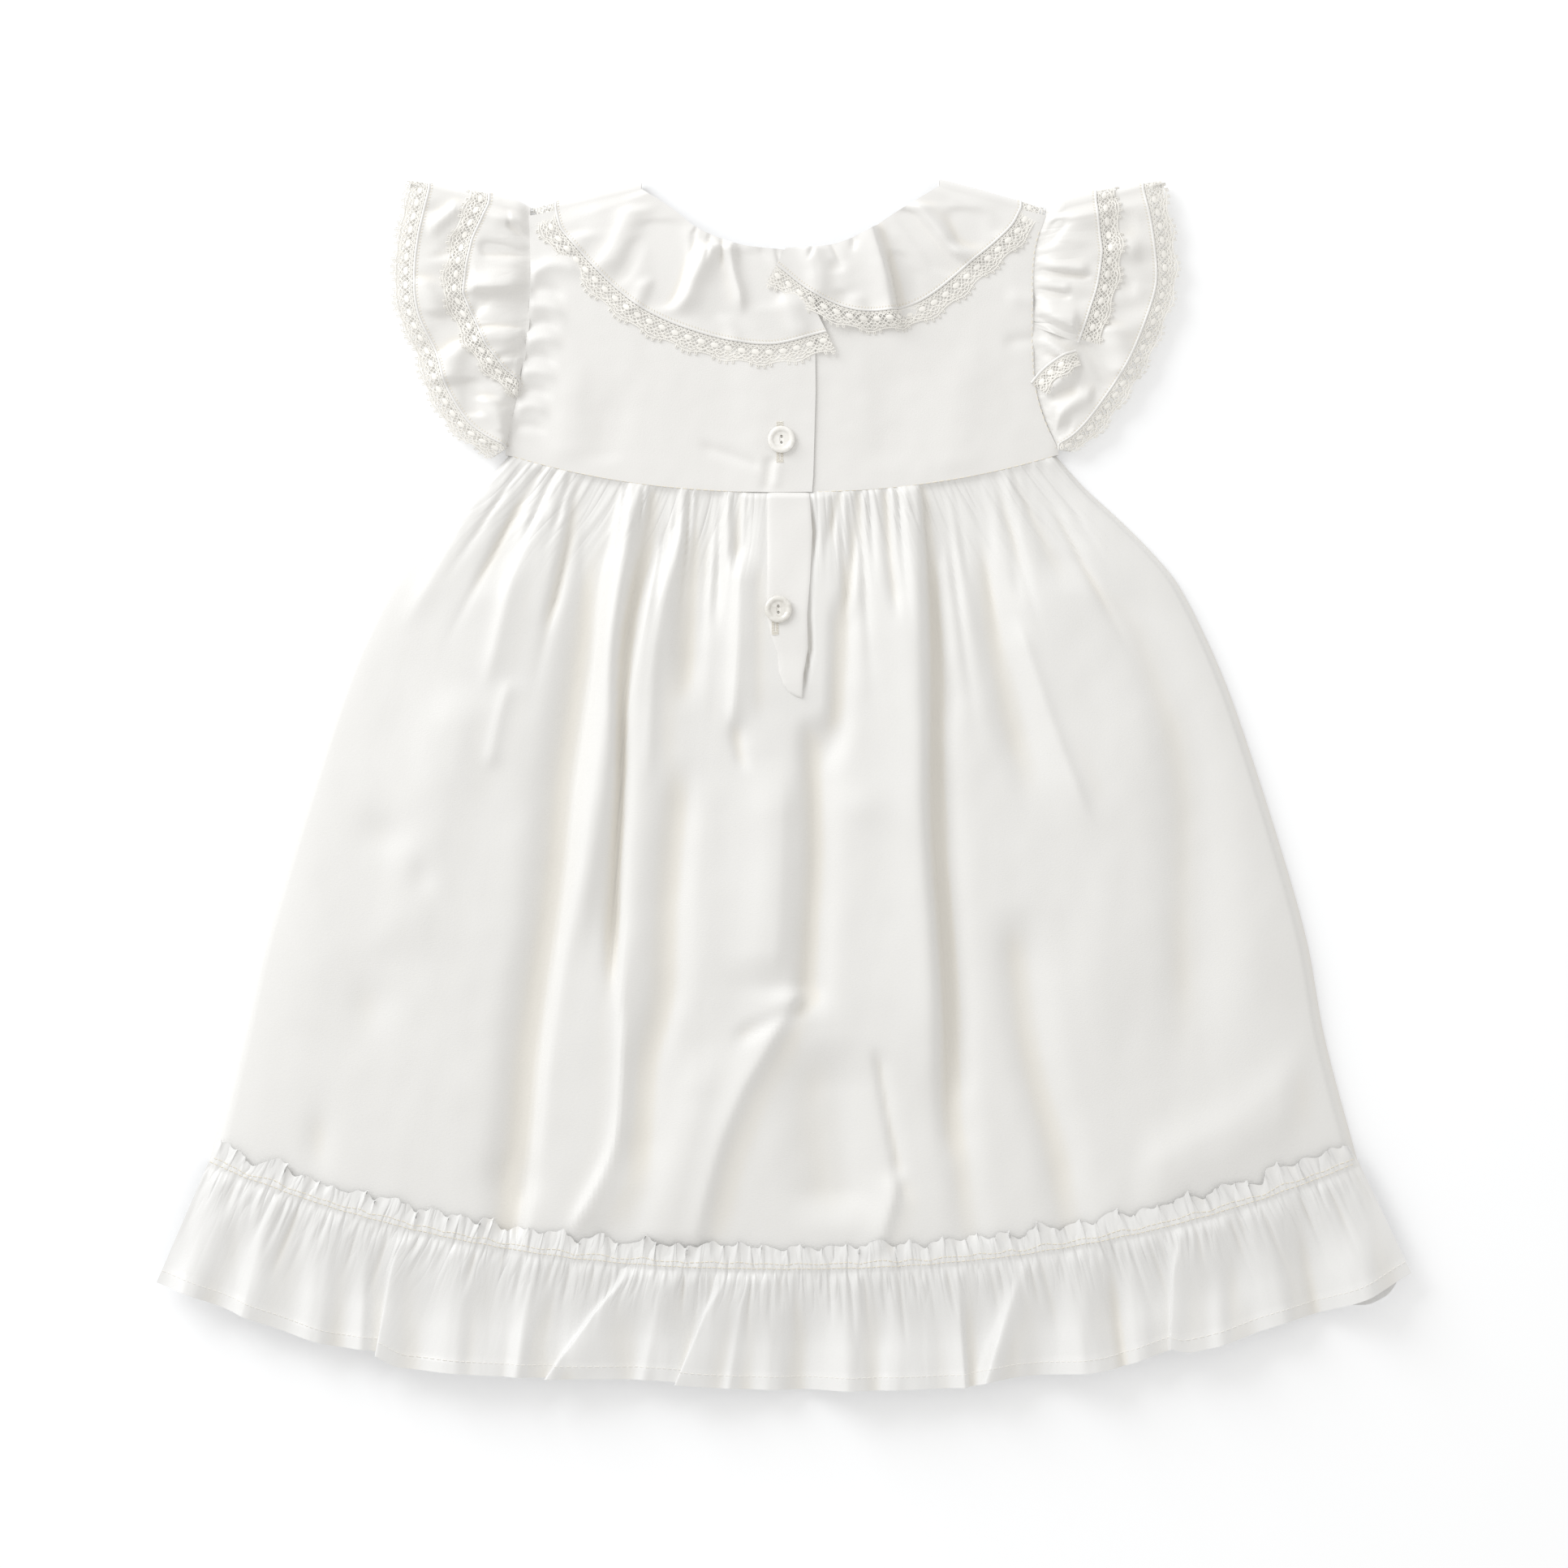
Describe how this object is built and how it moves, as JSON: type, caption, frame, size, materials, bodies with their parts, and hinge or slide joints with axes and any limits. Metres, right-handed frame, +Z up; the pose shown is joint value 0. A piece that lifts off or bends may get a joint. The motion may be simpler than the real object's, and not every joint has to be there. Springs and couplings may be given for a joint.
{
  "type": "baby dress laid flat",
  "caption": "Baby dress laid flat on its front: gathered skirt with a flounce, buttoned back, ruffled collar and flutter sleeves edged with lace.",
  "frame": {"origin": "on the surface that the dress lies on, under the middle of its outline", "axes": "+X to the right as the back is seen, +Y from the hem towards the neck, +Z up from the surface, out of the back of the dress"},
  "size_m": [0.4832, 0.4673, 0.0182],
  "materials": {
    "satin": "soft satin weave with a low sheen",
    "lace": "fine cotton lace, matt",
    "button": "pearly, glossy"
  },
  "bodies": {
    "root": {"front_skirt": "satin", "front_flounce": "satin", "back_skirt": "satin", "back_flounce": "satin", "front_bodice": "satin", "back_bodice_left": "satin", "back_bodice_right": "satin", "placket_overlap": "satin", "placket_underlap": "satin", "collar_left": "satin", "collar_right": "satin", "sleeve_left_lower": "satin", "sleeve_left_upper": "satin", "sleeve_right_lower": "satin", "sleeve_right_upper": "satin", "collar_left_lace": "lace", "collar_right_lace": "lace", "sleeve_left_lower_lace": "lace", "sleeve_left_upper_lace": "lace", "sleeve_right_lower_lace": "lace", "sleeve_right_upper_lace": "lace", "button_upper": "button", "button_lower": "button"}
  },
  "joints": []
}
